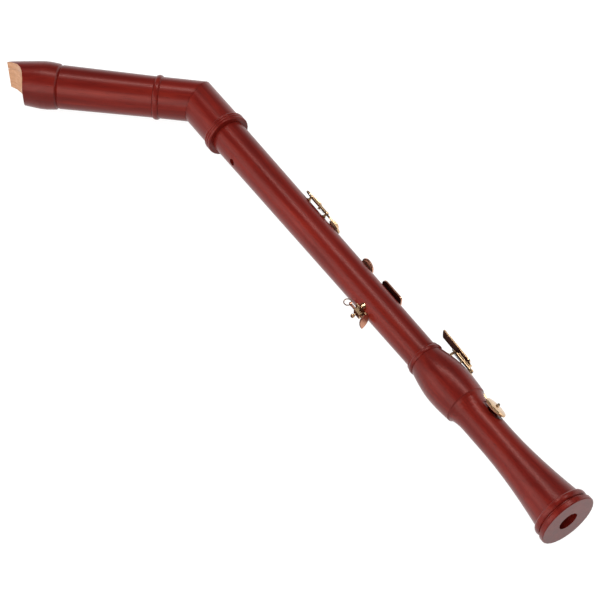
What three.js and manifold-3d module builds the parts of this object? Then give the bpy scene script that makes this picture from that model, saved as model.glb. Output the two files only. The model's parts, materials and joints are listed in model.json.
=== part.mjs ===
// Bent-neck bass recorder, lying on the player's left side.
// Units are millimetres. The instrument is drawn upright in its own frame: x to the front with the
// finger holes, y up from the line between foot and middle joint towards the head, z to the player's
// right. Stations are heights above that line. The last lines lay the instrument down, +Z up.
import * as THREE from 'three';
import { mergeVertices } from 'three/addons/utils/BufferGeometryUtils.js';
import Module from 'manifold-3d';

const wasm = await Module();
wasm.setup();

// Clearances and the fineness of round forms
const gap = 0.3;
const overrun = 3;
const woodSides = 32;
const fittingSides = 16;
const boreSides = 10;
const curveSteps = 6;

// Bend of the knick, and the bore along the main axis
const bendAngle = THREE.MathUtils.degToRad(48.2);
const boreAtFoot = 11.3;
const boreAtTop = 14.5;

// Foot joint: end rings, flare, waist, bulb and the bead at its socket. The waist, shoulder and bulb
// are set out as depths below the top
const foot = {
  length: 245,
  rimRadius: 33,
  rimWidth: 6,
  rimChamfer: 0.9,
  coveRadius: 29.6,
  coveWidth: 2.2,
  beadRadius: 32,
  beadWidth: 7.6,
  neckRadius: 28.2,
  waistRadius: 19.3,
  waistDepth: 132,
  waistEndDepth: 96,
  shoulderDepth: 75.5,
  shoulderRadius: 24.2,
  bulbRadius: 26.1,
  bulbDepth: 47,
  bulbEndDepth: 8,
  bulbEndRadius: 20.3,
  topBeadRadius: 21.6,
  topBeadWidth: 5.6,
  topRadius: 20.4,
};
const flareShares = { power: 1.7 };

// Middle joint: a gentle taper between the foot and the knick
const middle = {
  radiusAtFoot: 18.4,
  radiusAtTop: 21.4,
  length: 386,
  footTenonLength: 36,
  footTenonRadius: 15.4,
  topTenonLength: 30,
  topTenonRadius: 18.4,
};

// Cork lapping on every tenon
const cork = {
  thickness: 1.4,
  endShoulder: 5,
};

// Knick: two mitred tubes, a collar over the middle joint and a beaded socket for the head
const knick = {
  radius: 25.1,
  elbowHeight: 67.6,
  collarRimRadius: 26.2,
  ridges: 3,
  ridgeWidth: 3.4,
  ridgeRadius: 27.7,
  valleyRadius: 26.7,
  headEnd: 52.4,
  ringRadius: 27.2,
  ringWidth: 7.6,
};

// Head joint: places along it are depths below the tip, which lies past the elbow on the head's axis
const head = {
  tip: 235,
  tipRadius: 24,
  radiusAtKnick: 25,
  radiusAtGroove: 26.6,
  tenonLength: 24,
  tenonRadius: 19.4,
  boreRadius: 15.6,
  grooveFromTip: 66.3,
  grooveWidth: 4.2,
  grooveCut: 1.2,
  bulgeRadius: 29.1,
  bulgeFromTip: 48,
  shoulderRadius: 27.2,
  shoulderFromTip: 27,
};

// Windway, window and labium: depths below the tip, and heights from the head's axis
const voicing = {
  floor: 13.4,
  height: 2.6,
  width: 22,
  windowFromTip: 82,
  windowLength: 11,
  edge: 15.9,
  rampLength: 36,
  undercutLength: 20,
  undercutFoot: 10.5,
};

// Outline of the beak's hollow in the plane of the bend: heights from the head's axis, depths below the tip
const beak = {
  lip: 11.5,
  turnHeight: 9,
  turnFromTip: 24.5,
  backHeight: -25,
  backFromTip: 26,
  heelFromTip: 28,
};

// Tone holes on the middle joint, by station and by angle from the front
const thumbHole = { station: 346.5, angle: 172, radius: 4.2 };
const firstHole = { station: 315, angle: 0, radius: 4.4 };
const secondHole = { station: 280, angle: 0, radius: 4.6 };
const fifthHole = { station: 60, angle: 0, radius: 5 };
const sixthHole = { station: 32, angle: 0, radius: 4.6 };
const openHoles = [thumbHole, firstHole, secondHole, fifthHole, sixthHole];

// What every key shares: tube, axle, pillars, cup, pad and spring
const fitting = {
  tubeRadius: 1.9,
  axleRadius: 0.8,
  axleHeadRadius: 1.5,
  axleHeadLength: 1.1,
  pillarBallRadius: 2.3,
  pillarNeckRadius: 1.5,
  pillarFlangeRadius: 2.9,
  pillarFlangeHeight: 1.1,
  pillarStemRadius: 1.1,
  pillarStemLength: 4.5,
  cupWall: 0.9,
  cupRimHeight: 1.5,
  cupRoof: 0.9,
  cupDome: 1.1,
  cupBossRadius: 2.1,
  cupBossHeight: 1.2,
  padThickness: 2.3,
  armWidth: 5.4,
  armThickness: 1.7,
  rodRadius: 1.6,
  touchThickness: 1.5,
  springRadius: 0.35,
  springDrop: 2.55,
  springReach: 1.2,
  hookWidth: 1.5,
  hookHeight: 1.1,
  hookWall: 0.9,
};

// Proportions of a cup's roof, of the arm over it and of a touch's outline
const cupShares = { shoulder: 0.55, shoulderDrop: 0.25, bossEdge: 0.6, bossTip: 0.6 };
const armShares = { root: 0.9, bend: 0.4, underBend: 0.5, underRise: 0.6, sink: 0.4 };
const neckShares = { width: 2 };
const touchShares = { corner: 0.2, tipTurn: 0.2, tipOut: 0.3, tipBase: 0.6 };
const padSoftShare = 0.25;
const leafShares = { root: 0.45, swell: 0.62, swellAt: 0.3, shoulderAt: 0.78 };

// The three keys. The hinge tube runs beside the holes; the touch and the cup hang on one side of it.
// A touch starts and reaches across the tube, lifts above it and is tilted from the cup's plane.
const ringFingerKey = {
  name: 'ring_finger_key',
  carrier: 'middle',
  hinge: { angle: 33, lower: 213, upper: 243, radiusAtLower: 25.4, radiusAtUpper: 25.4 },
  cup: { station: 199, angle: 8, radius: 8.8, seat: 18.9, hole: 4.8 },
  touch: { from: 228, length: 33, start: 6.7, reach: 19.6, lift: 1.8, tilt: 8, webFrom: 229, webLength: 9 },
  touchShares: { tip: 0.4 },
  spring: { pillar: 'lower', length: 13 },
  openAngle: 9,
};
const indexFingerKey = {
  name: 'index_finger_key',
  carrier: 'middle',
  hinge: { angle: -25.5, lower: 86, upper: 148, radiusAtLower: 23.9, radiusAtUpper: 24.4 },
  cup: { station: 133, angle: 2, radius: 9.8, seat: 18.1, hole: 5.2 },
  touch: { from: 70, length: 35, start: 2.9, reach: 20, lift: -0.6, tilt: 5, webFrom: 90, webLength: 12 },
  touchShares: { tip: 0.25 },
  spring: { pillar: 'lower', length: 24 },
  openAngle: 9,
};

// The little finger's key lies on the bulb of the foot, and a rod bent round the bulb carries its cup
const littleFingerKey = {
  name: 'little_finger_key',
  carrier: 'foot',
  hinge: { angle: 5.5, lower: -46, upper: -16, radiusAtLower: 30, radiusAtUpper: 31.1 },
  cup: { station: -104, angle: 47, radius: 13.4, seat: 18.2, hole: 7 },
  touch: { from: -38, length: 49, start: -7, reach: 7.6, lift: 2.7, tilt: 44, webFrom: -41, webLength: 21 },
  touchShares: { tip: 0.03 },
  spring: { pillar: 'upper', length: 15 },
  openAngle: 8,
  rod: [
    { station: -41, radius: 30.3, angle: 5.5 },
    { station: -42.5, radius: 30.2, angle: -1.5 },
    { station: -48, radius: 30, angle: -6 },
    { station: -60, radius: 29.2, angle: -10 },
    { station: -74, radius: 28, angle: -12 },
    { station: -88, radius: 23.8, angle: -11 },
    { station: -98, radius: 23.4, angle: 9 },
    { station: -104, radius: 24.9, angle: 47 },
  ],
};
const keys = [ringFingerKey, indexFingerKey, littleFingerKey];

// Thumb rest on the back of the middle joint: a base with a block, a bar clamped in it, a leaf for the
// thumb at the bar's lower end and an eye with the strap ring at its upper end
const rest = {
  station: 86,
  angle: 180,
  baseLength: 19,
  baseWidth: 7.6,
  baseThickness: 1.8,
  earRadius: 4.2,
  earReach: 6.9,
  earThickness: 1.1,
  screwRadius: 2.6,
  screwHeadHeight: 1.3,
  screwStemRadius: 1,
  screwDepth: 6,
  blockLength: 10,
  blockWidth: 7,
  blockHeight: 7.6,
  barHeight: 4.7,
  barRadius: 1.5,
  barTop: 12.6,
  barBottom: -13,
  eyeRadius: 2.5,
  eyeThickness: 1.6,
  eyeHole: 1.45,
  ringRadius: 4.4,
  ringWire: 0.6,
  ringRise: 1.2,
  clampOffset: 0.3,
  clampRadius: 1.1,
  knobRadius: 2.5,
  knobHeight: 12.3,
  leafWidth: 11,
  leafLength: 17,
  leafThickness: 1.5,
  leafHeight: 7.1,
  leafTurn: 28,
  leafLean: 14,
};

// Finishes
const stained = { color: 0x7d2b22, roughness: 0.34, metalness: 0 };
const bareWood = { color: 0xd9a67e, roughness: 0.6, metalness: 0 };
const corkFinish = { color: 0xb98d5f, roughness: 0.9, metalness: 0 };
const brassFinish = { color: 0xd3ab62, roughness: 0.25, metalness: 1 };
const roseFinish = { color: 0xcf8f68, roughness: 0.28, metalness: 1 };
const steelFinish = { color: 0x9a9a98, roughness: 0.3, metalness: 1 };
const leatherFinish = { color: 0x2b221d, roughness: 0.85, metalness: 0 };

const degrees = (angle) => THREE.MathUtils.degToRad(angle);

// Closed three.js geometry to a solid, and a solid back to geometry
function solid(geometry, matrix) {
  const bare = geometry.index ? geometry.toNonIndexed() : geometry.clone();
  bare.deleteAttribute('normal');
  bare.deleteAttribute('uv');
  if (matrix) bare.applyMatrix4(matrix);
  const merged = mergeVertices(bare, gap / 1000);
  const corners = Array.from(merged.index.array);
  const kept = [];
  for (let i = 0; i < corners.length; i += 3) {
    const [a, b, c] = corners.slice(i, i + 3);
    if (a !== b && b !== c && c !== a) kept.push(a, b, c);
  }
  return new wasm.Manifold(new wasm.Mesh({
    numProp: 3,
    vertProperties: new Float32Array(merged.attributes.position.array),
    triVerts: new Uint32Array(kept),
  }));
}

function geometryOf(body) {
  const mesh = body.getMesh();
  const geometry = new THREE.BufferGeometry();
  geometry.setAttribute('position', new THREE.BufferAttribute(new Float32Array(mesh.vertProperties), 3));
  geometry.setIndex(new THREE.BufferAttribute(new Uint32Array(mesh.triVerts), 1));
  geometry.computeVertexNormals();
  return geometry;
}

function piece(name, body, finish) {
  const geometry = body instanceof wasm.Manifold ? geometryOf(body) : body;
  const mesh = new THREE.Mesh(geometry, new THREE.MeshStandardMaterial(finish));
  mesh.name = name;
  return mesh;
}

// Solids of revolution about y, from [radius, height] points that close on themselves
function turned(points, sides = woodSides) {
  const profile = points.map(([radius, height]) => new THREE.Vector2(radius, height));
  profile.push(profile[0].clone());
  return solid(new THREE.LatheGeometry(profile, sides));
}

// A round bar between two points
function bar(from, to, radius, sides = fittingSides) {
  const along = to.clone().sub(from);
  const turn = new THREE.Quaternion().setFromUnitVectors(new THREE.Vector3(0, 1, 0), along.clone().normalize());
  const middlePoint = from.clone().add(to).multiplyScalar(0.5);
  const matrix = new THREE.Matrix4().compose(middlePoint, turn, new THREE.Vector3(1, 1, 1));
  return solid(new THREE.CylinderGeometry(radius, radius, along.length(), sides), matrix);
}

// A bore that clears a round bar by the gap at the middle of its flats
function clearBore(from, to, radius) {
  return bar(from, to, (radius + gap) / Math.cos(Math.PI / boreSides), boreSides);
}

function block(width, height, depth, centre) {
  const matrix = new THREE.Matrix4().makeTranslation(centre.x, centre.y, centre.z);
  return solid(new THREE.BoxGeometry(width, height, depth), matrix);
}

// A flat outline in x and y, extruded along z from a level
function plate(shape, thickness, level, steps = curveSteps) {
  const geometry = new THREE.ExtrudeGeometry(shape, { depth: thickness, bevelEnabled: false, curveSegments: steps });
  return solid(geometry, new THREE.Matrix4().makeTranslation(0, 0, level));
}

function radial(station, radius, angle) {
  const turn = degrees(angle);
  return new THREE.Vector3(radius * Math.cos(turn), station, radius * Math.sin(turn));
}

function middleRadius(station) {
  return middle.radiusAtFoot + (middle.radiusAtTop - middle.radiusAtFoot) * (station / middle.length);
}

function boreRadius(station) {
  return boreAtFoot + (boreAtTop - boreAtFoot) * ((station + foot.length) / (middle.length + foot.length));
}

// The flare of the foot, by the share of its way from the waist down to the end rings
function flareRadius(share) {
  return foot.waistRadius + (foot.neckRadius - foot.waistRadius) * share ** flareShares.power;
}

// Half-round bead between two heights, standing from one radius out to another
function bead(inner, outer, from, to, steps = curveSteps) {
  const points = [];
  for (let i = 0; i <= steps; i += 1) {
    const turn = Math.PI * (i / steps);
    const height = (from + to) / 2 - ((to - from) / 2) * Math.cos(turn);
    points.push([inner + (outer - inner) * Math.sin(turn), height]);
  }
  return points;
}

const elbowStation = middle.length + knick.elbowHeight;
const footEnd = -foot.length;

// Foot outline from the end rings up to the socket bead
function footOutline() {
  const rimEnd = footEnd + foot.rimWidth;
  const beadFrom = rimEnd + foot.coveWidth;
  const flareFrom = beadFrom + foot.beadWidth;
  const points = [
    [foot.rimRadius - foot.rimChamfer, footEnd],
    [foot.rimRadius, footEnd + foot.rimChamfer],
    [foot.rimRadius, rimEnd - foot.rimChamfer],
    [foot.rimRadius - foot.rimChamfer, rimEnd],
    [foot.coveRadius, (rimEnd + beadFrom) / 2],
    ...bead(foot.coveRadius, foot.beadRadius, beadFrom, flareFrom),
  ];
  for (let i = curveSteps; i >= 0; i -= 1) {
    const share = i / curveSteps;
    points.push([flareRadius(share), -foot.waistDepth + (flareFrom + foot.waistDepth) * share]);
  }
  const shoulder = new THREE.CubicBezierCurve(
    new THREE.Vector2(foot.waistRadius, -foot.waistEndDepth),
    new THREE.Vector2(foot.waistRadius, -(foot.waistEndDepth + foot.shoulderDepth) / 2),
    new THREE.Vector2((foot.waistRadius + foot.shoulderRadius) / 2, -foot.shoulderDepth),
    new THREE.Vector2(foot.shoulderRadius, -foot.shoulderDepth),
  );
  points.push(...shoulder.getPoints(curveSteps - 1).map((point) => [point.x, point.y]));
  const riseSteps = curveSteps - 3;
  for (let i = 1; i <= riseSteps; i += 1) {
    const share = i / riseSteps;
    const swell = (foot.bulbRadius - foot.shoulderRadius) * Math.sin(share * Math.PI / 2);
    points.push([foot.shoulderRadius + swell, -foot.shoulderDepth + (foot.shoulderDepth - foot.bulbDepth) * share]);
  }
  const fallSteps = curveSteps + 1;
  for (let i = 1; i <= fallSteps; i += 1) {
    const share = i / fallSteps;
    const swell = (foot.bulbRadius - foot.bulbEndRadius) * Math.cos(share * Math.PI / 2);
    points.push([foot.bulbEndRadius + swell, -foot.bulbDepth + (foot.bulbDepth - foot.bulbEndDepth) * share]);
  }
  const beadEnd = -foot.bulbEndDepth + foot.topBeadWidth;
  points.push(...bead(foot.bulbEndRadius, foot.topBeadRadius, -foot.bulbEndDepth, beadEnd).slice(1, -1));
  points.push([foot.topRadius, beadEnd], [foot.topRadius, 0]);
  return points;
}

function footRadius(station) {
  const outline = footOutline();
  const after = outline.findIndex(([, height]) => height > station);
  const [[r0, h0], [r1, h1]] = [outline[after - 1], outline[after]];
  return r0 + (r1 - r0) * ((station - h0) / (h1 - h0));
}

const footSocketDepth = middle.footTenonLength + gap;
const footSocketRadius = middle.footTenonRadius + gap;
const topSocketRadius = middle.topTenonRadius + gap;
const headSocketRadius = head.tenonRadius + gap;

function footBody() {
  return turned([
    ...footOutline(),
    [footSocketRadius, 0],
    [footSocketRadius, -footSocketDepth],
    [boreRadius(-footSocketDepth), -footSocketDepth],
    [boreAtFoot, footEnd],
  ]);
}

// A tenon's outline with a recess for its cork, from the shoulder to its end
function tenonOutline(radius, shoulder, end) {
  const inward = Math.sign(end - shoulder);
  const recessFrom = shoulder + inward * cork.endShoulder;
  const recessTo = end - inward * cork.endShoulder;
  return [
    [radius, shoulder],
    [radius, recessFrom],
    [radius - cork.thickness, recessFrom],
    [radius - cork.thickness, recessTo],
    [radius, recessTo],
    [radius, end],
  ];
}

function corkRing(radius, shoulder, end) {
  const low = Math.min(shoulder, end) + cork.endShoulder + gap;
  const high = Math.max(shoulder, end) - cork.endShoulder - gap;
  const inner = radius - cork.thickness + gap;
  return turned([[radius, low], [radius, high], [inner, high], [inner, low]]);
}

const middleTopEnd = middle.length - gap;
const topTenonEnd = middle.length + middle.topTenonLength;

function middleBody() {
  return turned([
    ...tenonOutline(middle.footTenonRadius, gap, -middle.footTenonLength).reverse(),
    [middle.radiusAtFoot, gap],
    [middle.radiusAtTop, middleTopEnd],
    ...tenonOutline(middle.topTenonRadius, middleTopEnd, topTenonEnd),
    [boreRadius(topTenonEnd), topTenonEnd],
    [boreRadius(-middle.footTenonLength), -middle.footTenonLength],
  ]);
}

// Half space beyond the mitre, drawn in the frame of the tube that it cuts
function mitreCutter(side) {
  const reach = (knick.headEnd + knick.radius) * 2;
  const cutter = new THREE.BoxGeometry(reach, reach, reach);
  cutter.translate(0, side * (reach - gap) / 2, 0);
  return cutter;
}

function knickLower() {
  const rim = middle.length;
  const end = elbowStation + knick.radius;
  const ridges = [];
  for (let i = 0; i < knick.ridges; i += 1) {
    const from = rim + knick.ridgeWidth * i;
    ridges.push(...bead(knick.valleyRadius, knick.ridgeRadius, from, from + knick.ridgeWidth).slice(1));
  }
  const tube = turned([
    [knick.collarRimRadius, rim],
    ...ridges,
    [knick.radius, rim + knick.ridgeWidth * knick.ridges + gap],
    [knick.radius, end],
    [boreAtTop, end],
    [boreAtTop, topTenonEnd + gap],
    [topSocketRadius, topTenonEnd + gap],
    [topSocketRadius, rim],
  ]);
  const mitre = new THREE.Matrix4().makeTranslation(0, elbowStation, 0);
  mitre.multiply(new THREE.Matrix4().makeRotationZ(bendAngle / 2));
  return tube.subtract(solid(mitreCutter(1), mitre));
}

// The upper half of the knick is drawn in the head's frame, with the elbow at its origin
function knickUpper() {
  const ringFrom = knick.headEnd - knick.ringWidth;
  const socketFloor = knick.headEnd - head.tenonLength - gap;
  const tube = turned([
    [knick.radius, -knick.radius],
    [knick.radius, ringFrom],
    ...bead(knick.radius, knick.ringRadius, ringFrom, knick.headEnd).slice(1),
    [headSocketRadius, knick.headEnd],
    [headSocketRadius, socketFloor],
    [boreAtTop, socketFloor],
    [boreAtTop, -knick.radius],
  ]);
  const mitre = new THREE.Matrix4().makeRotationZ(-bendAngle / 2);
  return tube.subtract(solid(mitreCutter(-1), mitre));
}

const headFoot = knick.headEnd + gap;
const headTenonEnd = knick.headEnd - head.tenonLength;

function headOutline() {
  const groove = head.tip - head.grooveFromTip;
  const curve = new THREE.SplineCurve([
    new THREE.Vector2(head.radiusAtGroove + head.grooveCut, groove + head.grooveWidth / 2),
    new THREE.Vector2(head.bulgeRadius, head.tip - head.bulgeFromTip),
    new THREE.Vector2(head.shoulderRadius, head.tip - head.shoulderFromTip),
    new THREE.Vector2(head.tipRadius, head.tip),
  ]);
  return [
    [head.radiusAtKnick, headFoot],
    [head.radiusAtGroove, groove - head.grooveWidth / 2],
    [head.radiusAtGroove - head.grooveCut, groove],
    ...curve.getPoints(curveSteps + 2).map((point) => [point.x, point.y]),
  ];
}

const beyondHead = head.bulgeRadius + overrun;

// Everything beyond the beak: its hollow below the lip and the slope from the lip to the roof
function beakCutter() {
  const hollow = new THREE.Shape();
  hollow.moveTo(-beyondHead, head.tip - beak.heelFromTip);
  hollow.lineTo(beak.backHeight, head.tip - beak.backFromTip);
  hollow.quadraticCurveTo(beak.turnHeight, head.tip - beak.turnFromTip, beak.lip, head.tip);
  hollow.lineTo(beyondHead, head.tip - (beyondHead - beak.lip));
  hollow.lineTo(beyondHead, head.tip + overrun);
  hollow.lineTo(-beyondHead, head.tip + overrun);
  hollow.closePath();
  return plate(hollow, beyondHead * 2, -beyondHead);
}

const windowTop = head.tip - voicing.windowFromTip;

function windwayCutter() {
  const length = voicing.windowFromTip + overrun;
  const centre = new THREE.Vector3(voicing.floor + voicing.height / 2, windowTop + length / 2, 0);
  return block(voicing.height, length, voicing.width, centre);
}

// The window with the ramp that falls to the labium's edge, and the undercut below the edge
function labiumCutter() {
  const edge = windowTop - voicing.windowLength;
  const shape = new THREE.Shape();
  shape.moveTo(0, windowTop);
  shape.lineTo(beyondHead, windowTop);
  shape.lineTo(beyondHead, edge - voicing.rampLength);
  shape.lineTo(head.radiusAtGroove, edge - voicing.rampLength);
  shape.lineTo(voicing.edge, edge);
  shape.lineTo(voicing.edge - gap, edge);
  shape.lineTo(voicing.undercutFoot, edge - voicing.undercutLength);
  shape.lineTo(0, edge - voicing.undercutLength);
  shape.closePath();
  return plate(shape, voicing.width, -voicing.width / 2);
}

function headBody() {
  const body = turned([
    ...tenonOutline(head.tenonRadius, headFoot, headTenonEnd).reverse(),
    ...headOutline(),
    [head.boreRadius, head.tip],
    [head.boreRadius, headTenonEnd],
  ]);
  return body.subtract(windwayCutter()).subtract(labiumCutter()).subtract(beakCutter());
}

// The cedar block that fills the head below the windway, cut with the beak
function blockBody() {
  const radius = head.boreRadius - gap;
  const body = turned([[0, windowTop], [radius, windowTop], [radius, head.tip], [0, head.tip]]);
  const slab = new THREE.Vector3(voicing.floor + beyondHead / 2, head.tip, 0);
  const slabLength = (voicing.windowFromTip + overrun) * 2;
  return body.subtract(block(beyondHead, slabLength, beyondHead * 2, slab)).subtract(beakCutter());
}

// The frame of a key: x along its tube, y across towards the cup, z outward over the hole
function keyFrame(key) {
  const { hinge, cup } = key;
  const lower = radial(hinge.lower, hinge.radiusAtLower, hinge.angle);
  const upper = radial(hinge.upper, hinge.radiusAtUpper, hinge.angle);
  const seatCentre = radial(cup.station, cup.seat, cup.angle);
  let along = upper.clone().sub(lower).normalize();
  const origin = lower.clone().addScaledVector(along, seatCentre.clone().sub(lower).dot(along));
  const outward = radial(0, 1, cup.angle);
  outward.addScaledVector(along, -outward.dot(along)).normalize();
  let across = outward.clone().cross(along);
  const direction = Math.sign(across.dot(seatCentre.clone().sub(origin)));
  along = along.multiplyScalar(direction);
  across = across.multiplyScalar(direction);
  const matrix = new THREE.Matrix4().makeBasis(along, across, outward).setPosition(origin);
  const inverse = matrix.clone().invert();
  const seat = seatCentre.clone().applyMatrix4(inverse);
  const toFrame = (station) => {
    const share = (station - hinge.lower) / (hinge.upper - hinge.lower);
    return lower.clone().lerp(upper, share).applyMatrix4(inverse).x;
  };
  return { matrix, seat, direction, toFrame, lower, upper, along, origin };
}

function cupOutline(radius) {
  const roof = fitting.cupRimHeight + fitting.cupRoof;
  const top = roof + fitting.cupDome;
  const rim = radius - fitting.cupWall;
  return [
    [0, fitting.cupRimHeight],
    [rim, fitting.cupRimHeight],
    [rim, 0],
    [radius, 0],
    [radius, fitting.cupRimHeight],
    [radius - fitting.cupWall, roof],
    [radius * cupShares.shoulder, top - fitting.cupDome * cupShares.shoulderDrop],
    [fitting.cupBossRadius, top],
    [fitting.cupBossRadius, top + fitting.cupBossHeight * cupShares.bossEdge],
    [fitting.cupBossRadius * cupShares.bossTip, top + fitting.cupBossHeight],
    [0, top + fitting.cupBossHeight],
  ];
}

const uprightTurn = new THREE.Matrix4().makeRotationX(Math.PI / 2);

function moved(x, y, z) {
  return new THREE.Matrix4().makeTranslation(x, y, z);
}

function latheAlongZ(points, sides, matrix) {
  const profile = points.map(([radius, height]) => new THREE.Vector2(radius, height));
  const geometry = new THREE.LatheGeometry(profile, sides);
  return solid(geometry, matrix.clone().multiply(uprightTurn));
}

// Touch outline across the tube: rounded at its lower end, drawn in to a tip at its upper end
function touchShape(start, end, key) {
  const low = key.touch.start;
  const high = key.touch.reach;
  const step = end - start;
  const corner = (high - low) * touchShares.corner;
  const tip = step * key.touchShares.tip;
  const shape = new THREE.Shape();
  shape.moveTo(start, low);
  shape.lineTo(start, high - corner);
  shape.quadraticCurveTo(start, high, start + Math.sign(step) * corner, high);
  shape.lineTo(end - tip, high);
  shape.quadraticCurveTo(end - tip * touchShares.tipTurn, high, end, (low + high) / 2 + corner * touchShares.tipOut);
  shape.quadraticCurveTo(end, low, end - tip * touchShares.tipBase, low);
  shape.closePath();
  return shape;
}

// The touch with the web that carries it on the tube, below the upper pillar
function touchBody(key, frame) {
  const { touch } = key;
  const start = frame.toFrame(touch.from);
  const end = frame.toFrame(touch.from + touch.length);
  const webStart = frame.toFrame(touch.webFrom);
  const webEnd = frame.toFrame(touch.webFrom + touch.webLength);
  const top = touch.lift + fitting.touchThickness;
  const web = new THREE.Shape();
  const side = Math.max(touch.start, 0) + fitting.touchThickness;
  web.moveTo(-fitting.touchThickness / 2, 0);
  web.lineTo(-fitting.touchThickness / 2, top);
  web.lineTo(side, top);
  web.lineTo(side, touch.lift);
  web.lineTo(fitting.touchThickness / 2, Math.min(touch.lift, -fitting.touchThickness / 2));
  web.closePath();
  const plateBody = plate(touchShape(start, end, key), fitting.touchThickness, touch.lift);
  const webBody = crossExtrude(web, Math.min(webStart, webEnd), Math.max(webStart, webEnd));
  return plateBody.add(webBody).transform(touchTurn(key).elements);
}

function touchTurn(key) {
  return new THREE.Matrix4().makeRotationX(degrees(key.touch.tilt - key.openAngle));
}

// An outline across the tube and outward, extruded along the tube
function crossExtrude(shape, from, to) {
  const geometry = new THREE.ExtrudeGeometry(shape, {
    depth: to - from, bevelEnabled: false, curveSegments: curveSteps,
  });
  const turn = new THREE.Matrix4().makeBasis(
    new THREE.Vector3(0, 1, 0),
    new THREE.Vector3(0, 0, 1),
    new THREE.Vector3(1, 0, 0),
  );
  return solid(geometry, moved(from, 0, 0).multiply(turn));
}

function leverBody(key, frame) {
  const { cup, hinge, rod } = key;
  const pillarRoom = fitting.pillarBallRadius + gap;
  const tubeEnds = [hinge.lower + pillarRoom, hinge.upper - pillarRoom].map(frame.toFrame).sort((a, b) => a - b);
  const tubeFrom = new THREE.Vector3(tubeEnds[0], 0, 0);
  const tubeTo = new THREE.Vector3(tubeEnds[1], 0, 0);
  const pastPillar = cup.station < hinge.lower;
  const rimFloor = frame.seat.z + fitting.padThickness - fitting.cupRimHeight + gap * 2;
  const cupTop = rimFloor + fitting.cupRimHeight + fitting.cupRoof + fitting.cupDome;
  const armRoot = pastPillar ? pillarRoom : 0;
  let body = bar(tubeFrom, tubeTo, fitting.tubeRadius);
  body = body.add(latheAlongZ(cupOutline(cup.radius), fittingSides + 4, moved(0, frame.seat.y, rimFloor)));
  if (rod) {
    body = body.add(rodBody(rod, frame));
  } else {
    body = body.add(armBody(frame, cupTop, armRoot));
    if (pastPillar) body = body.add(neckBody(frame, tubeEnds, armRoot));
  }
  body = body.add(touchBody(key, frame)).add(hookBody(key, frame));
  const cavityFloor = new THREE.Vector3(0, frame.seat.y, frame.seat.z - overrun);
  const cavityRoof = cavityFloor.clone().setZ(rimFloor + fitting.cupRimHeight);
  body = body.subtract(bar(cavityFloor, cavityRoof, cup.radius - fitting.cupWall, fittingSides + 4));
  const reach = new THREE.Vector3(overrun, 0, 0);
  return body.subtract(clearBore(tubeFrom.clone().sub(reach), tubeTo.clone().add(reach), fitting.axleRadius));
}

// Arched arm from the tube over to the boss of the cup
function armBody(frame, cupTop, root) {
  const half = fitting.armWidth / 2;
  const thick = fitting.armThickness;
  const rise = cupTop + thick * armShares.sink;
  const end = frame.seat.y + half;
  const shape = new THREE.Shape();
  shape.moveTo(root, fitting.tubeRadius * armShares.root);
  shape.quadraticCurveTo(root + frame.seat.y * armShares.bend, rise + thick, end, rise);
  shape.lineTo(end, rise - thick);
  const underBend = root + (frame.seat.y - root) * armShares.underBend;
  shape.quadraticCurveTo(underBend, rise - thick * armShares.underRise, root, -fitting.tubeRadius * armShares.root);
  shape.closePath();
  return crossExtrude(shape, -half, half);
}

// A bent rod through places given by station, radius and angle, from the tube to the roof of the cup
function rodBody(places, frame) {
  const inverse = frame.matrix.clone().invert();
  const points = places.map((place) => radial(place.station, place.radius, place.angle).applyMatrix4(inverse));
  const round = new THREE.Shape();
  round.absarc(0, 0, fitting.rodRadius, 0, Math.PI * 2);
  return solid(new THREE.ExtrudeGeometry(round, {
    extrudePath: new THREE.CatmullRomCurve3(points), steps: places.length * 2, curveSegments: curveSteps - 2,
  }));
}

// Where the cup lies past the pillar, the arm springs from a neck that passes the pillar's ball
function neckBody(frame, tubeEnds, side) {
  const inner = Math.abs(tubeEnds[0]) < Math.abs(tubeEnds[1]) ? tubeEnds[0] : tubeEnds[1];
  const sign = Math.sign(inner);
  const width = fitting.armThickness * neckShares.width;
  const far = -sign * fitting.armWidth / 2;
  const shape = new THREE.Shape();
  shape.moveTo(far, side);
  shape.lineTo(inner + sign * gap, side);
  shape.lineTo(inner + sign * gap, 0);
  shape.lineTo(inner + sign * width, 0);
  shape.lineTo(inner + sign * width * neckShares.width, side + width);
  shape.lineTo(far, side + width);
  shape.closePath();
  return plate(shape, fitting.armThickness, -fitting.armThickness / 2);
}

// A spring and its hook lie straight below the tube, as seen from the pillars
function springTurn(key) {
  return new THREE.Matrix4().makeRotationX(degrees(Math.abs(key.cup.angle - key.hinge.angle)));
}

// Where a needle spring starts at its pillar and ends in its hook, before that turn
function springEnds(key, frame) {
  const { spring, hinge } = key;
  const towards = spring.pillar === 'lower' ? 1 : -1;
  const pillar = spring.pillar === 'lower' ? hinge.lower : hinge.upper;
  const root = frame.toFrame(pillar - towards * fitting.springReach);
  const tip = frame.toFrame(pillar + towards * spring.length);
  return [new THREE.Vector3(root, 0, -fitting.springDrop), new THREE.Vector3(tip, 0, -fitting.springDrop)];
}

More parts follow.
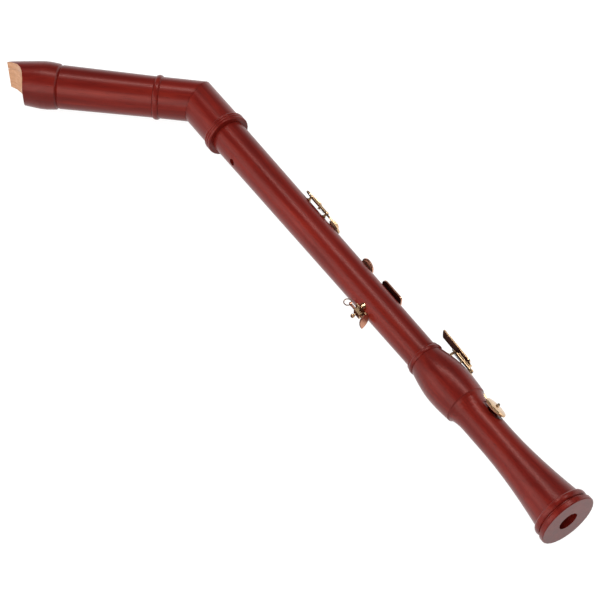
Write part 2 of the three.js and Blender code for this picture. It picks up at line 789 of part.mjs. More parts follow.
// Forked hook under the tube that the needle spring bears in
function hookBody(key, frame) {
  const [root, tip] = springEnds(key, frame);
  const inward = Math.sign(root.x - tip.x);
  const swing = fitting.springDrop * Math.sin(degrees(key.openAngle));
  const slotHalf = fitting.springRadius + gap;
  const foot = -fitting.springDrop - fitting.hookHeight;
  const shape = new THREE.Shape();
  shape.moveTo(-slotHalf - swing - fitting.hookWall, 0);
  shape.lineTo(-slotHalf - swing - fitting.hookWall, foot);
  shape.lineTo(-slotHalf - swing, foot);
  shape.lineTo(-slotHalf - swing, -fitting.springDrop + slotHalf);
  shape.lineTo(slotHalf, -fitting.springDrop + slotHalf);
  shape.lineTo(slotHalf, foot);
  shape.lineTo(slotHalf + fitting.hookWall, foot);
  shape.lineTo(slotHalf + fitting.hookWall, 0);
  shape.closePath();
  const near = tip.x + inward * fitting.hookWidth;
  const hook = crossExtrude(shape, Math.min(tip.x, near), Math.max(tip.x, near));
  return hook.transform(springTurn(key).elements);
}

function springBody(key, frame) {
  const [root, tip] = springEnds(key, frame);
  return bar(root, tip, fitting.springRadius, boreSides - 2).transform(springTurn(key).elements);
}

function padBody(key, frame) {
  const radius = key.cup.radius - fitting.cupWall - gap;
  const soft = fitting.padThickness * padSoftShare;
  return latheAlongZ([
    [0, 0],
    [radius - soft, 0],
    [radius, soft],
    [radius, fitting.padThickness],
    [0, fitting.padThickness],
  ], fittingSides + 4, moved(0, frame.seat.y, frame.seat.z + gap));
}

// A pillar: threaded stem in the wood, flange, neck and a ball bored for the axle
function pillarBody(station, radius, angle, surface, along, needle) {
  const ball = fitting.pillarBallRadius;
  const flange = surface + gap;
  const points = [
    [0, surface - fitting.pillarStemLength],
    [fitting.pillarStemRadius, surface - fitting.pillarStemLength],
    [fitting.pillarStemRadius, flange],
    [fitting.pillarFlangeRadius, flange],
    [fitting.pillarFlangeRadius, flange + fitting.pillarFlangeHeight / 2],
    [fitting.pillarNeckRadius, flange + fitting.pillarFlangeHeight],
  ];
  const steps = curveSteps;
  const start = Math.asin(fitting.pillarNeckRadius / ball);
  for (let i = 0; i <= steps; i += 1) {
    const turn = start + (Math.PI - start) * (i / steps);
    points.push([i === steps ? 0 : ball * Math.sin(turn), radius - ball * Math.cos(turn)]);
  }
  const outward = radial(0, 1, angle);
  const lay = new THREE.Matrix4().makeRotationFromQuaternion(
    new THREE.Quaternion().setFromUnitVectors(new THREE.Vector3(0, 1, 0), outward),
  );
  lay.setPosition(new THREE.Vector3(0, station, 0));
  const profile = points.map(([r, h]) => new THREE.Vector2(r, h));
  const body = solid(new THREE.LatheGeometry(profile, fittingSides - 4), lay);
  const centre = radial(station, radius, angle);
  const reach = ball + overrun;
  const from = centre.clone().addScaledVector(along, -reach);
  const to = centre.clone().addScaledVector(along, reach);
  const bored = body.subtract(clearBore(from, to, fitting.axleRadius));
  return needle ? bored.subtract(needle) : bored;
}

function axleBody(frame) {
  const along = frame.upper.clone().sub(frame.lower).normalize();
  const ball = fitting.pillarBallRadius + gap;
  const from = frame.lower.clone().addScaledVector(along, -ball);
  const to = frame.upper.clone().addScaledVector(along, ball);
  const headEnd = to.clone().addScaledVector(along, fitting.axleHeadLength);
  const body = bar(from, to.clone().addScaledVector(along, fitting.axleHeadLength / 2), fitting.axleRadius, boreSides);
  return body.add(bar(to, headEnd, fitting.axleHeadRadius, boreSides));
}

// Hole through one wall, and for a key a flat seat milled round it
function toneHole(station, angle, radius) {
  return bar(radial(station, 0, angle), radial(station, middle.radiusAtTop * 2, angle), radius, fittingSides);
}

function keySeatCutters(key, frame) {
  const { cup } = key;
  const outward = new THREE.Vector3(0, 0, 1).transformDirection(frame.matrix);
  const seat = frame.seat.clone().applyMatrix4(frame.matrix);
  const inner = seat.clone().addScaledVector(outward, -cup.seat);
  const outer = seat.clone().addScaledVector(outward, cup.seat);
  const hole = bar(inner, outer, cup.hole, fittingSides);
  const flat = bar(seat, outer, cup.radius + gap * 2, fittingSides + 4);
  return hole.add(flat);
}

function stemHole(station, angle, surface) {
  const from = radial(station, surface - fitting.pillarStemLength - gap, angle);
  const to = radial(station, surface + overrun, angle);
  return clearBore(from, to, fitting.pillarStemRadius);
}

const woodRadius = { middle: middleRadius, foot: footRadius };

// Highest wood under a pillar's flange
function flangeSurface(carrier, station) {
  const reach = fitting.pillarFlangeRadius;
  return Math.max(...[station - reach, station, station + reach].map(woodRadius[carrier]));
}

// All the pieces of one key. Those that move are drawn closed and turned open about the tube
function keyPieces(key) {
  const frame = keyFrame(key);
  const { hinge, spring } = key;
  const group = new THREE.Group();
  const fixed = new THREE.Group();
  fixed.applyMatrix4(frame.matrix);
  const moving = new THREE.Group();
  moving.rotation.x = degrees(key.openAngle);
  fixed.add(moving);
  moving.add(
    piece(`${key.name}_lever`, leverBody(key, frame), brassFinish),
    piece(`${key.name}_pad`, padBody(key, frame), leatherFinish),
  );
  fixed.add(piece(`${key.name}_spring`, springBody(key, frame), steelFinish));
  const toWood = frame.matrix.clone().multiply(springTurn(key));
  const [root, tip] = springEnds(key, frame).map((point) => point.applyMatrix4(toWood));
  const beyond = root.clone().sub(tip).normalize().multiplyScalar(overrun);
  const needle = clearBore(tip, root.clone().add(beyond), fitting.springRadius);
  const ends = [['lower', hinge.lower, hinge.radiusAtLower], ['upper', hinge.upper, hinge.radiusAtUpper]];
  const cutters = [keySeatCutters(key, frame)];
  for (const [end, station, radius] of ends) {
    const surface = flangeSurface(key.carrier, station);
    const cut = spring.pillar === end ? needle : null;
    const pillar = pillarBody(station, radius, hinge.angle, surface, frame.along, cut);
    group.add(piece(`${key.name}_pillar_${end}`, pillar, brassFinish));
    cutters.push(stemHole(station, hinge.angle, surface));
  }
  group.add(piece(`${key.name}_axle`, axleBody(frame), steelFinish), fixed);
  return { group, cutters };
}

// Frame of the thumb rest: x up the instrument, y to the player's left, z outward
function restFrame() {
  const outward = radial(0, 1, rest.angle);
  const along = new THREE.Vector3(0, 1, 0);
  const across = outward.clone().cross(along);
  const origin = radial(rest.station, middleRadius(rest.station), rest.angle);
  return new THREE.Matrix4().makeBasis(along, across, outward).setPosition(origin);
}

function restBase(frame) {
  const half = rest.baseLength / 2;
  const depth = rest.baseWidth;
  const slabCentre = new THREE.Vector3(0, 0, (rest.baseThickness - depth) / 2);
  let body = block(rest.baseLength, rest.baseWidth, rest.baseThickness + depth, slabCentre);
  for (const side of [-1, 1]) {
    const ear = new THREE.Vector3(0, side * rest.earReach, 0);
    body = body.add(bar(ear.clone().setZ(-depth), ear.clone().setZ(rest.earThickness), rest.earRadius));
  }
  const blockCentre = new THREE.Vector3(0, 0, rest.blockHeight / 2);
  body = body.add(block(rest.blockLength, rest.blockWidth, rest.blockHeight, blockCentre));
  const barEnd = new THREE.Vector3(half, 0, rest.barHeight);
  body = body.subtract(clearBore(barEnd.clone().setX(-half), barEnd, rest.barRadius));
  const clampFloor = new THREE.Vector3(rest.clampOffset, 0, rest.barHeight);
  body = body.subtract(clearBore(clampFloor, clampFloor.clone().setZ(rest.knobHeight), rest.clampRadius));
  for (const side of [-1, 1]) {
    body = body.subtract(restScrewHole(side));
  }
  const wood = bar(
    radial(rest.station - rest.baseLength, 0, 0),
    radial(rest.station + rest.baseLength, 0, 0),
    middleRadius(rest.station + half) + gap,
    woodSides * 2,
  );
  return body.subtract(wood.transform(frame.clone().invert().elements));
}

function restScrewHole(side) {
  const low = new THREE.Vector3(0, side * rest.earReach, -rest.screwDepth - gap);
  return clearBore(low, low.clone().setZ(rest.screwDepth), rest.screwStemRadius);
}

function restScrew(side) {
  const low = new THREE.Vector3(0, side * rest.earReach, -rest.screwDepth);
  const top = low.clone().setZ(rest.earThickness + gap);
  const stem = bar(low, top, rest.screwStemRadius, boreSides);
  const dome = latheAlongZ([
    [0, 0],
    [rest.screwRadius, 0],
    [rest.screwRadius, rest.screwHeadHeight / 2],
    [rest.screwRadius / 2, rest.screwHeadHeight],
    [0, rest.screwHeadHeight],
  ], fittingSides, moved(top.x, top.y, top.z));
  return stem.add(dome);
}

function eyeCentre() {
  return new THREE.Vector3(rest.barTop + (rest.eyeRadius + rest.eyeHole) / 2, 0, rest.barHeight);
}

function restBar() {
  const low = new THREE.Vector3(rest.barBottom, 0, rest.barHeight);
  const high = new THREE.Vector3(rest.barTop, 0, rest.barHeight);
  const eye = eyeCentre();
  const rim = new THREE.Vector3(0, 0, rest.eyeThickness / 2);
  const across = new THREE.Vector3(0, 0, rest.eyeRadius);
  let body = bar(low, high, rest.barRadius, boreSides);
  body = body.add(bar(eye.clone().sub(rim), eye.clone().add(rim), rest.eyeRadius));
  body = body.subtract(bar(eye.clone().sub(across), eye.clone().add(across), rest.eyeHole));
  return body.add(leafBody());
}

// Leaf for the thumb: it stands across the bar's end, with its tip turned out and leaning to the foot
function leafBody() {
  const half = rest.leafWidth / 2;
  const { leafLength } = rest;
  const root = half * leafShares.root;
  const swell = half / leafShares.swell;
  const shape = new THREE.Shape();
  shape.moveTo(-root, 0);
  shape.bezierCurveTo(-swell, leafLength * leafShares.swellAt, -half, leafLength * leafShares.shoulderAt, 0, leafLength);
  shape.bezierCurveTo(half, leafLength * leafShares.shoulderAt, swell, leafLength * leafShares.swellAt, root, 0);
  shape.closePath();
  const turn = degrees(rest.leafTurn);
  const lean = degrees(rest.leafLean);
  const tipward = new THREE.Vector3(-Math.sin(lean), Math.cos(turn) * Math.cos(lean), Math.sin(turn) * Math.cos(lean));
  const side = new THREE.Vector3(1, 0, 0).cross(tipward).normalize();
  const matrix = new THREE.Matrix4().makeBasis(side, tipward, side.clone().cross(tipward));
  const middleOfLeaf = new THREE.Vector3(rest.barBottom, 0, rest.leafHeight);
  matrix.setPosition(middleOfLeaf.addScaledVector(tipward, -leafLength / 2));
  return plate(shape, rest.leafThickness, -rest.leafThickness / 2).transform(matrix.elements);
}

// The ring stands on edge along the bar, a little outside it, and passes through the eye
function strapRing() {
  const ring = new THREE.TorusGeometry(rest.ringRadius, rest.ringWire, boreSides - 2, fittingSides + 8);
  const eye = eyeCentre();
  const forward = Math.sqrt(rest.ringRadius ** 2 - rest.ringRise ** 2);
  return solid(ring, moved(eye.x + forward, eye.y, eye.z + rest.ringRise).multiply(uprightTurn));
}

// Clamp screw with a round knob, which holds the bar in its block
function restClamp() {
  const from = new THREE.Vector3(rest.clampOffset, 0, rest.barHeight + rest.barRadius + gap);
  const knob = from.clone().setZ(rest.knobHeight);
  const ball = new THREE.SphereGeometry(rest.knobRadius, fittingSides - 4, boreSides);
  return bar(from, knob, rest.clampRadius, boreSides).add(solid(ball, moved(knob.x, knob.y, knob.z)));
}

function build() {
  const instrument = new THREE.Group();
  let middleWood = middleBody();
  let footWood = footBody();
  for (const hole of openHoles) {
    middleWood = middleWood.subtract(toneHole(hole.station, hole.angle, hole.radius));
  }
  for (const key of keys) {
    const made = keyPieces(key);
    instrument.add(made.group);
    for (const cutter of made.cutters) {
      if (key.carrier === 'foot') footWood = footWood.subtract(cutter);
      else middleWood = middleWood.subtract(cutter);
    }
  }
  const frame = restFrame();
  for (const side of [-1, 1]) {
    middleWood = middleWood.subtract(restScrewHole(side).transform(frame.elements));
  }
  instrument.add(
    piece('middle_joint', middleWood, stained),
    piece('foot_joint', footWood, stained),
    piece('foot_tenon_cork', corkRing(middle.footTenonRadius, gap, -middle.footTenonLength), corkFinish),
    piece('top_tenon_cork', corkRing(middle.topTenonRadius, middleTopEnd, topTenonEnd), corkFinish),
    piece('knick_lower', knickLower(), stained),
  );
  const neck = new THREE.Group();
  neck.position.set(0, elbowStation, 0);
  neck.rotation.z = bendAngle;
  neck.add(
    piece('knick_upper', knickUpper(), stained),
    piece('head_joint', headBody(), stained),
    piece('head_block', blockBody(), bareWood),
    piece('head_tenon_cork', corkRing(head.tenonRadius, headFoot, headTenonEnd), corkFinish),
  );
  instrument.add(neck);
  const thumbRest = new THREE.Group();
  thumbRest.applyMatrix4(frame);
  thumbRest.add(
    piece('thumb_rest_base', restBase(frame), brassFinish),
    piece('thumb_rest_screw_right', restScrew(-1), brassFinish),
    piece('thumb_rest_screw_left', restScrew(1), brassFinish),
    piece('thumb_rest_bar', restBar(), roseFinish),
    piece('thumb_rest_clamp', restClamp(), brassFinish),
    piece('strap_ring', strapRing(), brassFinish),
  );
  instrument.add(thumbRest);
  return instrument;
}

// Lay the instrument on the player's left side, foot towards +X, with the origin under the
// middle of its box
const instrument = build();
instrument.rotation.z = Math.PI / 2;
const group = new THREE.Group();
group.add(instrument);
group.updateMatrixWorld(true);
const box = new THREE.Box3().setFromObject(group, true);
const centre = box.getCenter(new THREE.Vector3());
instrument.position.set(-centre.x, -centre.y, -box.min.z);
group.updateMatrixWorld(true);

export default group;
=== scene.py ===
import json
import math

import bpy
from mathutils import Matrix, Vector


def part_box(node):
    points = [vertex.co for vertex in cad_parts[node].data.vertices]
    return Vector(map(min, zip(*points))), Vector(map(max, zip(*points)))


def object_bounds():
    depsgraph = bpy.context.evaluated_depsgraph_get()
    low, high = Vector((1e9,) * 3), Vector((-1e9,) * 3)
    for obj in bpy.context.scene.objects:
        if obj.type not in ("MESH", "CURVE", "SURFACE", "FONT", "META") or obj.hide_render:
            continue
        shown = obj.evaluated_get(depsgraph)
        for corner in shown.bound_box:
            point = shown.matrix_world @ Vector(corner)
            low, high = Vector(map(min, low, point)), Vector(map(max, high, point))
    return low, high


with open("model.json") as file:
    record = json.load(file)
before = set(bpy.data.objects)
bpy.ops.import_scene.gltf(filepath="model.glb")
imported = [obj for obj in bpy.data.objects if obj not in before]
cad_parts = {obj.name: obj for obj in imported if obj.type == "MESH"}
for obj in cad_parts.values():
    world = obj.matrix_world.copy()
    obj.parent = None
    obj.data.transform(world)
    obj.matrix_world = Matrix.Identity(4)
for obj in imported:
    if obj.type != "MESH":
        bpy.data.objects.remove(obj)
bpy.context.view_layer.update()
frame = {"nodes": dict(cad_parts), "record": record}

MM = 0.001
nodes = frame["nodes"]

# Where the photograph was taken from, in millimetres from the middle of the foot's end face
CAMERA_SPOT = Vector((589.9, -744.9, 1527.0))
CAMERA_TARGET = Vector((-381.1, -67.0, 0))
CAMERA_ROLL = 1.1  # degrees
FOCAL_PIXELS = 1760.3
FRAME_PIXELS = 600
SENSOR = 36  # millimetres
VIEW_DEPTH = 20  # metres

# The head leaves the main axis at the elbow, this far from the foot's end face
HEAD_BEND = math.radians(48.2)
ELBOW_DISTANCE = 698.6
MAIN_AXIS = Vector((-1, 0, 0))
HEAD_AXIS = Vector((-math.cos(HEAD_BEND), -math.sin(HEAD_BEND), 0))
HEAD_NODES = {"head_joint", "knick_upper", "head_block", "head_tenon_cork"}

# How deep below the head's tip the beak is cut, and how squarely its outer faces look outward
BEAK_DEPTH = 32
FACING_SHARE = 0.9

WHITE = (1, 1, 1, 1)
BLACK = (0, 0, 0, 1)

# The world's level as a light, the level of the ceiling in reflections, and the heights it darkens between
WORLD_LIGHT = 0.3
CEILING = 0.12
CEILING_HEIGHTS = (0.08, 0.42)

# Half the floor's side and its distance below the instrument, in metres, and its glow and tint
FLOOR_HALF = 8
FLOOR_GAP = 0.0002
FLOOR_GLOW = 0.88
FLOOR_TINT = (0.3, 0.3, 0.3, 1)

# The keys stand on the front. Their undersides, which look back to the wood, get painted shade: a darker
# colour and less metal sheen, standing in for the shadow under the keys
BACK = Vector((0, -1, 0))
PAINTED_SHADE_SHARES = (0.2, 0.75)
PAINTED_SHADE = (0.12, 0.05, 0.05)
PAINTED_SHADE_METALLIC = 0.05

# A normal that strays further than this out of its axial plane belongs to no turned surface
FACET_LIMIT = 0.2

# Edges sharper than this many degrees stay crisp
SHARP_ANGLE = 30

# Sockets of a Mix node for colours and for vectors: the first input, the second input, the result
COLOUR_SOCKETS = (6, 7, 2)
VECTOR_SOCKETS = (4, 5, 1)


def foot_end():
    """Middle of the foot's end face, in the row frame."""
    low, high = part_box("foot_joint")
    return Vector((high.x, (low.y + high.y) / 2, (low.z + high.z) / 2))


def aimed(spot, target):
    """The placement of a camera or lamp that stands at a spot and looks at a target."""
    look = (target - spot).to_track_quat("-Z", "Y").to_matrix().to_4x4()
    return Matrix.Translation(spot) @ look


def add_camera():
    """A camera at the photograph's viewpoint."""
    spot = foot_end() + CAMERA_SPOT * MM
    target = foot_end() + CAMERA_TARGET * MM
    data = bpy.data.cameras.new("camera")
    data.sensor_width = SENSOR
    data.lens = FOCAL_PIXELS / FRAME_PIXELS * SENSOR
    data.clip_end = VIEW_DEPTH
    camera = bpy.data.objects.new("camera", data)
    roll = Matrix.Rotation(math.radians(CAMERA_ROLL), 4, "Z")
    camera.matrix_world = aimed(spot, target) @ roll
    bpy.context.scene.collection.objects.link(camera)
    bpy.context.scene.camera = camera


class Nodes:
    """Short calls for building the node tree of a material or of the world."""

    def __init__(self, name, holder=None):
        self.material = holder or bpy.data.materials.new(name)
        self.material.use_nodes = True
        self.tree = self.material.node_tree
        self.shader = self.tree.nodes["Background" if holder else "Principled BSDF"]

    def add(self, kind, **settings):
        node = self.tree.nodes.new(kind)
        for key, value in settings.items():
            setattr(node, key, value)
        return node

    def link(self, source, target):
        self.tree.links.new(source, target)

    def feed(self, socket, value):
        """Links a socket to another node's output, or else sets its constant."""
        if hasattr(value, "is_output"):
            self.link(value, socket)
        else:
            socket.default_value = value

    def shade(self, **inputs):
        """Feeds the shader's inputs, whose names are given with underscores for spaces."""
        for name, value in inputs.items():
            self.feed(self.shader.inputs[name.replace("_", " ")], value)

    def coordinates(self, scale, turn=0.0):
        """Row-frame coordinates, turned about Z and then scaled."""
        place = self.add("ShaderNodeTexCoord")
        turned = self.add("ShaderNodeMapping")
        turned.inputs["Rotation"].default_value = (0, 0, turn)
        scaled = self.add("ShaderNodeMapping")
        scaled.inputs["Scale"].default_value = scale
        self.link(place.outputs["Object"], turned.inputs["Vector"])
        self.link(turned.outputs["Vector"], scaled.inputs["Vector"])
        return scaled.outputs["Vector"]

    def noise(self, vector, scale, detail=4, roughness=0.6, distortion=0.0):
        noise = self.add("ShaderNodeTexNoise")
        noise.inputs["Scale"].default_value = scale
        noise.inputs["Detail"].default_value = detail
        noise.inputs["Roughness"].default_value = roughness
        noise.inputs["Distortion"].default_value = distortion
        self.link(vector, noise.inputs["Vector"])
        return noise.outputs["Fac"]

    def ramp(self, factor, *stops):
        ramp = self.add("ShaderNodeValToRGB")
        elements = ramp.color_ramp.elements
        while len(elements) < len(stops):
            elements.new(0.5)
        for element, (place, colour) in zip(elements, stops):
            element.position = place
            element.color = colour if len(colour) == 4 else (*colour, 1)
        self.link(factor, ramp.inputs["Fac"])
        return ramp.outputs["Color"]

    def mix(self, factor, a, b, blend="MIX"):
        mix = self.add("ShaderNodeMix", data_type="RGBA", blend_type=blend)
        first, second, result = COLOUR_SOCKETS
        self.feed(mix.inputs["Factor"], factor)
        self.feed(mix.inputs[first], a)
        self.feed(mix.inputs[second], b)
        return mix.outputs[result]

    def background_rays(self):
        """One for rays that show the background: from the camera, a reflection or a refraction."""
        paths = self.add("ShaderNodeLightPath")
        seen = self.add("ShaderNodeMath", operation="MAXIMUM")
        seen_too = self.add("ShaderNodeMath", operation="MAXIMUM")
        self.link(paths.outputs["Is Camera Ray"], seen.inputs[0])
        self.link(paths.outputs["Is Glossy Ray"], seen.inputs[1])
        self.link(seen.outputs[0], seen_too.inputs[0])
        self.link(paths.outputs["Is Transmission Ray"], seen_too.inputs[1])
        return seen_too.outputs[0]

    def bump(self, height, strength, distance, normal=None):
        bump = self.add("ShaderNodeBump")
        bump.inputs["Strength"].default_value = strength
        bump.inputs["Distance"].default_value = distance
        self.link(height, bump.inputs["Height"])
        if normal:
            self.link(normal, bump.inputs["Normal"])
        self.link(bump.outputs["Normal"], self.shader.inputs["Normal"])

    def vector(self, operation, *values):
        """One step of vector arithmetic; numbers set a vector, a scale or nothing."""
        step = self.add("ShaderNodeVectorMath", operation=operation)
        for index, value in enumerate(values):
            socket = step.inputs["Scale"] if operation == "SCALE" and index else step.inputs[index]
            self.feed(socket, value)
        return step.outputs["Value" if operation in {"DOT_PRODUCT", "LENGTH"} else "Vector"]

    def between_spaces(self, vector, start, end):
        transform = self.add(
            "ShaderNodeVectorTransform", vector_type="VECTOR", convert_from=start, convert_to=end
        )
        self.link(vector, transform.inputs["Vector"])
        return transform.outputs["Vector"]

    def over(self, value, limit):
        """One where the value is above the limit, nought elsewhere."""
        test = self.add("ShaderNodeMath", operation="GREATER_THAN")
        test.inputs[1].default_value = limit
        self.link(value, test.inputs[0])
        return test.outputs[0]

    def own_normal(self):
        """The surface normal in the object's own space."""
        return self.between_spaces(self.add("ShaderNodeNewGeometry").outputs["Normal"], "WORLD", "OBJECT")

    def turned_surface(self, axis, origin):
        """For a body turned about an axis: the height along it, how squarely a face looks out,
        and the smooth normal.
        """
        place = self.add("ShaderNodeTexCoord").outputs["Object"]
        arm = self.vector("SUBTRACT", place, origin)
        height = self.vector("DOT_PRODUCT", arm, axis)
        along = self.vector("SCALE", axis, height)
        outward = self.vector("NORMALIZE", self.vector("SUBTRACT", arm, along))
        seen = self.own_normal()
        facing = self.vector("DOT_PRODUCT", seen, outward)
        lift = self.vector("SCALE", axis, self.vector("DOT_PRODUCT", seen, axis))
        turned = self.vector("ADD", lift, self.vector("SCALE", outward, facing))
        astray = self.vector("LENGTH", self.vector("SUBTRACT", seen, turned))
        choice = self.add("ShaderNodeMix", data_type="VECTOR")
        first, second, result = VECTOR_SOCKETS
        self.link(self.over(astray, FACET_LIMIT), choice.inputs["Factor"])
        self.link(turned, choice.inputs[first])
        self.link(seen, choice.inputs[second])
        smooth = self.vector("NORMALIZE", self.between_spaces(choice.outputs[result], "OBJECT", "WORLD"))
        return height, facing, smooth

    def range(self, factor, low, high):
        spread = self.add("ShaderNodeMapRange")
        spread.inputs["To Min"].default_value = low
        spread.inputs["To Max"].default_value = high
        self.link(factor, spread.inputs["Value"])
        return spread.outputs["Result"]


def bare_wood(n, turn):
    """Grain of bare pale wood: its height and its colour."""
    grain = n.noise(n.coordinates((30, 160, 160), turn), 2.2, detail=5, roughness=0.7, distortion=0.6)
    colour = n.ramp(
        grain,
        (0.3, (0.52, 0.25, 0.13)),
        (0.55, (0.68, 0.37, 0.21)),
        (0.8, (0.78, 0.48, 0.3)),
    )
    return grain, colour


def stained_wood(name, turn, axis, origin, beak_from=None):
    """Red-brown stained maple with its grain along the axis that it is turned about.

    Above the height where the beak starts, the faces that don't look outward are cut bare.
    """
    n = Nodes(name)
    height, facing, smooth = n.turned_surface(axis, origin)
    along = n.coordinates((6, 90, 90), turn)
    streaks = n.noise(along, 1.6, detail=6, roughness=0.65, distortion=0.4)
    base = n.ramp(
        streaks,
        (0.25, (0.115, 0.0055, 0.004)),
        (0.5, (0.168, 0.0095, 0.006)),
        (0.75, (0.235, 0.018, 0.0095)),
    )
    broad = n.noise(n.coordinates((3.5, 14, 14), turn), 2.0, detail=3)
    shade = n.ramp(broad, (0.3, (0.72, 0.68, 0.7)), (0.7, (1.12, 1.1, 1.05)))
    colour = n.mix(1.0, base, shade, "MULTIPLY")
    pores = n.noise(n.coordinates((60, 900, 900), turn), 1.4, detail=2, roughness=0.5)
    pore_mask = n.ramp(pores, (0.6, BLACK), (0.72, WHITE))
    colour = n.mix(pore_mask, colour, n.mix(1.0, colour, (0.62, 0.6, 0.6, 1), "MULTIPLY"))
    if beak_from is not None:
        inward = n.mix(n.over(facing, FACING_SHARE), WHITE, BLACK)
        bare = n.mix(n.over(height, beak_from), BLACK, inward)
        colour = n.mix(bare, colour, bare_wood(n, turn)[1])
    n.shade(Base_Color=colour, Roughness=n.range(pores, 0.27, 0.33))
    n.shade(Specular_IOR_Level=0.34, Specular_Tint=(1, 0.55, 0.5, 1))
    n.bump(pores, 0.03, 0.0002, smooth)
    return n.material


def cedar(name, turn):
    """Bare pale cedar, cut across its grain at the beak."""
    n = Nodes(name)
    grain, colour = bare_wood(n, turn)
    n.shade(Base_Color=colour, Roughness=0.62)
    n.bump(grain, 0.25, 0.0003)
    return n.material


def cork(name):
    """Pressed cork with darker specks."""
    n = Nodes(name)
    specks = n.noise(n.coordinates((1, 1, 1)), 900, detail=3)
    colour = n.ramp(specks, (0.35, (0.2, 0.1, 0.045)), (0.6, (0.5, 0.3, 0.15)))
    n.shade(Base_Color=colour, Roughness=0.9)
    n.bump(specks, 0.3, 0.0003)
    return n.material


def metal(name, colour, tarnish, roughness):
    """Polished metal, tarnished in patches, with painted shade on the side that faces back to the wood."""
    n = Nodes(name)
    patches = n.noise(n.coordinates((1, 1, 1)), 120, detail=4)
    worn = n.mix(n.ramp(patches, (0.45, BLACK), (0.75, WHITE)), colour, tarnish)
    # Painted shade: faces that look back to the wood, towards -Y, get a darker colour and less metal
    # sheen, standing in for the shadow under the keys.
    back = n.vector("DOT_PRODUCT", n.own_normal(), BACK)
    open_share, painted_shade_share = PAINTED_SHADE_SHARES
    painted_shade = n.ramp(back, (open_share, WHITE), (painted_shade_share, PAINTED_SHADE))
    painted_shade_metallic = n.ramp(back, (open_share, WHITE), (painted_shade_share, (PAINTED_SHADE_METALLIC,) * 3))
    n.shade(Base_Color=n.mix(1.0, worn, painted_shade, "MULTIPLY"), Metallic=painted_shade_metallic, Specular_IOR_Level=0)
    scratches = n.noise(n.coordinates((200, 1600, 1600)), 1, detail=2)
    n.shade(Roughness=n.range(scratches, roughness * 0.7, roughness * 1.4))
    n.bump(scratches, 0.05, 0.0001)
    return n.material


def leather(name):
    """Red-brown pad leather with a fine grain."""
    n = Nodes(name)
    grain = n.noise(n.coordinates((1, 1, 1)), 1400, detail=3)
    colour = n.ramp(grain, (0.35, (0.3, 0.105, 0.06)), (0.65, (0.46, 0.18, 0.11)))
    n.shade(Base_Color=colour, Roughness=0.7)
    n.bump(grain, 0.35, 0.0002)
    return n.material


def white_to_camera(name, glow, tint):
    """A surface that takes shadow, lifted to white where the camera or a reflection sees it."""
    n = Nodes(name)
    n.shade(Base_Color=tint, Roughness=0.9, Specular_IOR_Level=0, Emission_Color=WHITE)
    n.shade(Emission_Strength=n.range(n.background_rays(), 0, glow))
    return n.material


def add_floor():
    """A wide pale floor just below the instrument."""
    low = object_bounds()[0]
    mesh = bpy.data.meshes.new("floor")
    corners = [Vector((x, y, 0)) * FLOOR_HALF for x, y in ((-1, -1), (1, -1), (1, 1), (-1, 1))]
    mesh.from_pydata(corners, [], [(0, 1, 2, 3)])
    floor = bpy.data.objects.new("floor", mesh)
    floor.location = (0, 0, low.z - FLOOR_GAP)
    mesh.materials.append(white_to_camera("floor", FLOOR_GLOW, FLOOR_TINT))
    bpy.context.scene.collection.objects.link(floor)


def add_world():
    """A white studio with a dim ceiling: white where it is seen, darker overhead in reflections."""
    world = bpy.data.worlds.new("world")
    bpy.context.scene.world = world
    n = Nodes("world", world)
    n.shade(Color=WHITE)
    direction = n.add("ShaderNodeTexCoord").outputs["Generated"]
    height = n.vector("DOT_PRODUCT", direction, Vector((0, 0, 1)))
    horizon, overhead = CEILING_HEIGHTS
    ceiling = n.ramp(height, (horizon, WHITE), (overhead, (CEILING,) * 3))
    paths = n.add("ShaderNodeLightPath")
    level = n.mix(paths.outputs["Is Glossy Ray"], (WORLD_LIGHT, WORLD_LIGHT, WORLD_LIGHT, 1), ceiling)
    shown = n.add("ShaderNodeMath", operation="MAXIMUM")
    n.link(paths.outputs["Is Camera Ray"], shown.inputs[0])
    n.link(paths.outputs["Is Transmission Ray"], shown.inputs[1])
    n.shade(Strength=n.mix(shown.outputs[0], level, WHITE))


def add_softbox(name, spot, target, size, power):
    """A rectangular area light aimed at a point."""
    data = bpy.data.lights.new(name, "AREA")
    data.shape = "RECTANGLE"
    data.size, data.size_y = size
    data.energy = power
    light = bpy.data.objects.new(name, data)
    light.matrix_world = aimed(Vector(spot), Vector(target))
    bpy.context.scene.collection.objects.link(light)


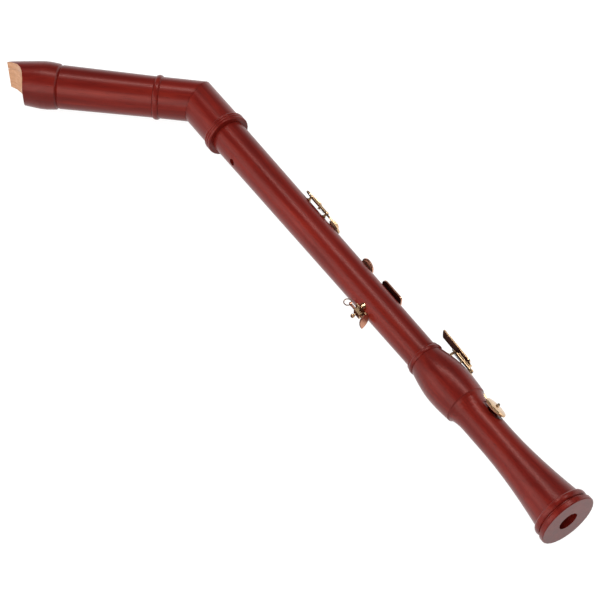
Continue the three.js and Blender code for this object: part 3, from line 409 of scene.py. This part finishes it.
def add_lights():
    """Strip lights set so that each shows as one long highlight on the round body."""
    centre = (-0.1, 0, 0.03)
    add_softbox("top_strip", (-0.5, 0.55, 2.0), centre, (2.4, 0.2), 23)
    add_softbox("side_box", (-0.5, -1.95, 0.9), centre, (2.4, 1.3), 22)
    add_softbox("front_box", (1.1, -1.5, 1.1), centre, (1.7, 1.5), 22)
    add_softbox("rim_light", (0.6, 2.1, 0.5), centre, (2.4, 1.0), 9)


def elbow():
    """Where the head's axis leaves the main axis, in the row frame."""
    return foot_end() + MAIN_AXIS * ELBOW_DISTANCE * MM


def smooth_shading(mesh, angle):
    """Round faces shade as round, edges sharper than the angle stay crisp."""
    mesh.shade_smooth()
    mesh.set_sharp_from_angle(angle=math.radians(angle))


def head_tip(axis, origin):
    """How far the head's tip lies from the origin along the axis, in metres."""
    return max((vertex.co - origin).dot(axis) for vertex in nodes["head_joint"].data.vertices)


def dress_nodes():
    """Gives every CAD node its material and its shading."""
    bend = elbow()
    finishes = {
        "stained_wood": stained_wood("stained_wood", 0, MAIN_AXIS, bend),
        "cedar": cedar("cedar", -HEAD_BEND),
        "cork": cork("cork"),
        "brass": metal("brass", (0.64, 0.43, 0.25, 1), (0.42, 0.25, 0.13, 1), 0.22),
        "rose_brass": metal("rose_brass", (0.66, 0.33, 0.22, 1), (0.46, 0.21, 0.13, 1), 0.26),
        "steel": metal("steel", (0.6, 0.59, 0.57, 1), (0.42, 0.4, 0.37, 1), 0.2),
        "leather": leather("leather"),
    }
    beak_from = head_tip(HEAD_AXIS, bend) - BEAK_DEPTH * MM
    head_wood = stained_wood("stained_wood_head", -HEAD_BEND, HEAD_AXIS, bend, beak_from)
    for part in frame["record"]["subparts"]:
        node = nodes[part["node"]]
        slot = part["material_slot"]
        on_head = part["node"] in HEAD_NODES
        mesh = node.data
        mesh.materials.clear()
        mesh.materials.append(head_wood if on_head and slot == "stained_wood" else finishes[slot])
        smooth_shading(mesh, SHARP_ANGLE)


add_camera()
add_world()
add_floor()
add_lights()
dress_nodes()

view = bpy.context.scene.view_settings
view.view_transform = "Standard"
